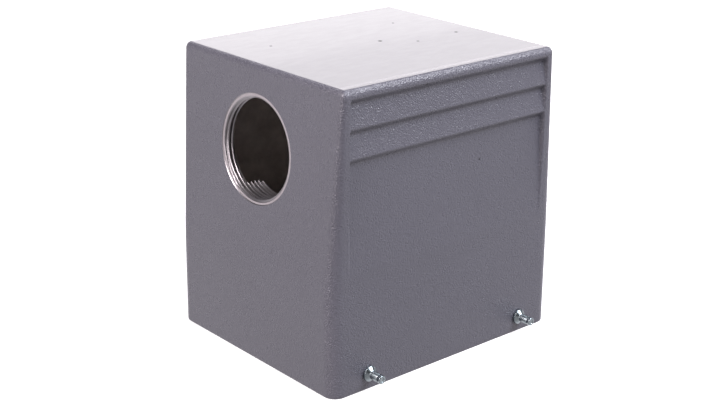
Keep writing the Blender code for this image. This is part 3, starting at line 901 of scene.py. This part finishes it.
def build_ground_plates():
    """Ground plates with their terminal screws."""
    plate = plate_mesh()
    head = turned("head", in_mm((1.55, 28.9), (1.55, 33.6), (2.5, 34.4), (2.5, 35.6), (2.2, 35.9),
                                (0.1, 36.0)), 28)
    head = slotted("ground_screw", head, 0.35 * MM, 35.0 * MM, 40 * MM)
    for row in ("front", "back"):
        for label in ("left", "right"):
            node = f"ground_plate_{row}_{label}"
            low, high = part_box(node)
            place = ((low[0] + high[0]) / 2, (low[1] + high[1]) / 2, 0)
            piece = link(f"plate_{row}_{label}", plate.copy(), NICKEL)
            piece.location = place
            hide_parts(node)
            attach(piece, "root")
            screw = link(f"ground_screw_{row}_{label}", head.copy(), ZINC)
            screw.location = place
            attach(screw, "root")


# --------------------------------------------------- captive screws and washers

SCREW_PITCH = 0.7 * MM
SCREW_ROWS = 8                  # mesh rows in one pitch
SCREW_SIDES = 32
SCREW_START = 18.0 * MM         # the thread's lower and upper end
SCREW_END = 29.6 * MM
SCREW_ROOT = 1.6 * MM
SCREW_DEPTH = 0.35 * MM
WASHER_STEPS = 56
WASHER_GAP = 16.0               # degrees
WASHER_LIFT = 0.16 * MM         # from one end of the washer to the other
WASHER_TURN = 0.9               # radians from one washer's gap to the next one's


def fixing_screw_mesh():
    """M4 cheese-head screw about its own axis, head down, with a rolled thread."""
    profile = in_mm((0.1, 14.7), (3.1, 14.7))
    profile += in_mm(*[(3.2 + 0.3 * math.sin(angle), 15.0 - 0.3 * math.cos(angle))
                       for angle in (0.4, 0.8, 1.2, math.pi / 2)])
    profile += in_mm((3.5, 17.2), (3.4, 17.3), (1.7, 17.3))
    rings = [circle(radius, z, SCREW_SIDES) for radius, z in profile]
    for row in range(int((SCREW_END - SCREW_START) / (SCREW_PITCH / SCREW_ROWS)) + 1):
        z = SCREW_START + row * SCREW_PITCH / SCREW_ROWS
        run_out = min((z - SCREW_START) / SCREW_PITCH, (SCREW_END - z) / SCREW_PITCH, 1.0)
        ring = []
        for i in range(SCREW_SIDES):
            turns = (z / SCREW_PITCH - i / SCREW_SIDES) % 1.0
            radius = SCREW_ROOT + SCREW_DEPTH * (1 - abs(2 * turns - 1)) * max(run_out, 0.0)
            angle = TAU * i / SCREW_SIDES
            ring.append(Vector((radius * math.cos(angle), radius * math.sin(angle), z)))
        rings.append(ring)
    rings += [circle(radius, z, SCREW_SIDES) for radius, z in in_mm((1.3, 30.0), (0.1, 30.0))]
    body = skinned("fixing_screw", rings, 32)
    return slotted("fixing_screw", body, 0.5 * MM, 10 * MM, 15.8 * MM)


def spring_washer_mesh():
    """Split spring washer: a square section wound just under one turn."""
    section = in_mm((2.1, 17.70), (3.22, 17.70), (3.3, 17.78), (3.3, 18.32), (3.22, 18.40),
                    (2.1, 18.40))
    rings = []
    for step in range(WASHER_STEPS + 1):
        share = step / WASHER_STEPS
        angle = math.radians(WASHER_GAP / 2 + (360 - WASHER_GAP) * share)
        lift = WASHER_LIFT * (share - 0.5)
        rings.append([Vector((radius * math.cos(angle), radius * math.sin(angle), z + lift))
                      for radius, z in section])
    return skinned("spring_washer", rings, 30)


def build_fixings():
    """Eight captive screws with their washers, each on its own body."""
    screw_mesh = fixing_screw_mesh()
    washer_mesh = spring_washer_mesh()
    for number, (name, x, y) in enumerate(fixing_places()):
        turn = Matrix.Rotation(WASHER_TURN * number, 4, "Z")
        place = Matrix.Translation((x, y, 0))
        screw = link(f"captive_screw_{name}", moved(screw_mesh.copy(), place), ZINC)
        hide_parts(f"fixing_screw_{name}")
        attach(screw, f"screw_{name}")
        washer = link(f"split_washer_{name}", moved(washer_mesh.copy(), place @ turn), ZINC)
        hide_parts(f"spring_washer_{name}")
        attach(washer, f"washer_{name}")


build_inserts()
build_ground_plates()
build_fixings()


# -------------------------------------------------------------------- the studio

CAMERA_AZIMUTH = math.radians(-41.062)
CAMERA_ELEVATION = math.radians(19.974)
CAMERA_ROLL = math.radians(0.728)
CAMERA_DISTANCE = 4.8477 * HEIGHT
CAMERA_AIM = (-0.0233 * HEIGHT, -0.0618 * HEIGHT)
CAMERA_LENS = 70.386
WORLD_LOW = (0.60, 0.575, 0.60)
WORLD_HORIZON = (0.56, 0.54, 0.57)
WORLD_HIGH = (0.105, 0.10, 0.11)
DARK_SIDE = (-0.66, -0.75, 0.0)


def emitter(name, size, place, target, power, color):
    """Rectangular area light that faces a point."""
    data = bpy.data.lights.new(name, "AREA")
    data.shape = "RECTANGLE"
    data.size, data.size_y = size
    data.energy = power
    data.color = color
    light = bpy.data.objects.new(name, data)
    bpy.context.scene.collection.objects.link(light)
    light.location = place
    direction = Vector(place) - Vector(target)
    light.rotation_euler = direction.to_track_quat("Z", "Y").to_euler()


def build_floor():
    """Plain pale floor under the hood; it lights the view, and not the hood."""
    bm = bmesh.new()
    bmesh.ops.create_circle(bm, cap_ends=True, segments=96, radius=6.0)
    floor = link("floor", finish_mesh("floor", bm))
    n = Nodes("floor")
    mottle = n.noise(3.0, 2.0)
    color = n.ramp(mottle, [(0.3, (0.90, 0.895, 0.90, 1)), (0.7, (0.93, 0.925, 0.93, 1))])
    floor.data.materials.append(n.shade(Base_Color=color, Roughness=0.8,
                                        Emission_Color=(1, 1, 1, 1), Emission_Strength=0.6))
    floor.location = (0, 0, -0.05 * MM)
    floor.visible_diffuse = False
    floor.visible_glossy = False


def build_world():
    """Pale surroundings at table height, dark overhead and on the photographer's side."""
    world = bpy.data.worlds.new("studio")
    world.use_nodes = True
    tree = world.node_tree

    def add(kind, **settings):
        node = tree.nodes.new(kind)
        for key, value in settings.items():
            setattr(node, key, value)
        return node

    place = add("ShaderNodeTexCoord").outputs["Generated"]
    split = add("ShaderNodeSeparateXYZ")
    height = add("ShaderNodeMapRange")
    ramp = add("ShaderNodeValToRGB")
    tree.links.new(place, split.inputs["Vector"])
    height.inputs["From Min"].default_value = -1.0
    tree.links.new(split.outputs["Z"], height.inputs["Value"])
    tree.links.new(height.outputs["Result"], ramp.inputs["Fac"])
    stops = ((0.0, WORLD_LOW), (0.45, WORLD_LOW), (0.52, WORLD_HORIZON), (0.66, WORLD_HIGH))
    while len(ramp.color_ramp.elements) < len(stops):
        ramp.color_ramp.elements.new(0.5)
    for point, (position, color) in zip(ramp.color_ramp.elements, stops):
        point.position = position
        point.color = color + (1,)
    facing = add("ShaderNodeVectorMath", operation="DOT_PRODUCT")
    tree.links.new(place, facing.inputs[0])
    facing.inputs[1].default_value = DARK_SIDE
    shade = add("ShaderNodeMapRange", interpolation_type="SMOOTHSTEP")
    for name, value in (("From Min", -0.5), ("From Max", 0.95), ("To Min", 1.5),
                        ("To Max", 0.6)):
        shade.inputs[name].default_value = value
    tree.links.new(facing.outputs["Value"], shade.inputs["Value"])
    background = tree.nodes["Background"]
    tree.links.new(ramp.outputs["Color"], background.inputs["Color"])
    tree.links.new(shade.outputs["Result"], background.inputs["Strength"])
    bpy.context.scene.world = world


def build_camera():
    """Camera at the viewing angle of a product shot from the front left corner."""
    back = Vector((math.sin(CAMERA_AZIMUTH) * math.cos(CAMERA_ELEVATION),
                   -math.cos(CAMERA_AZIMUTH) * math.cos(CAMERA_ELEVATION),
                   math.sin(CAMERA_ELEVATION)))
    right = Vector((0, 0, 1)).cross(back).normalized()
    up = back.cross(right)
    aim = Vector((0, 0, HEIGHT / 2)) + CAMERA_AIM[0] * right + CAMERA_AIM[1] * up
    data = bpy.data.cameras.new("camera")
    data.lens = CAMERA_LENS
    data.sensor_width = 36.0
    data.clip_start = 0.01
    camera = bpy.data.objects.new("camera", data)
    bpy.context.scene.collection.objects.link(camera)
    turn = Matrix((right, up, back)).transposed().to_4x4()
    camera.matrix_world = (Matrix.Translation(aim + back * CAMERA_DISTANCE) @ turn
                           @ Matrix.Rotation(CAMERA_ROLL, 4, "Z"))
    bpy.context.scene.camera = camera


build_floor()
build_world()
emitter("back_panel", (1.3, 0.6), (0.68, 0.78, 0.43), (0, 0, 0.10), 6.15, (1.0, 0.965, 0.975))
emitter("left_box", (0.23, 0.82), (-0.72, -0.10, 0.43), (-0.05, 0, 0.08), 2.9, (1.0, 0.92, 0.93))
emitter("high_left", (0.22, 0.22), (-0.34, -0.06, 0.40), (-0.05, 0, 0.08), 1.15, (1.0, 0.93, 0.95))
emitter("top_box", (0.60, 0.42), (0.34, -0.46, 0.72), (0, 0, 0.06), 9.2, (0.92, 0.93, 1.0))
build_camera()
bpy.context.scene.view_settings.view_transform = "Standard"
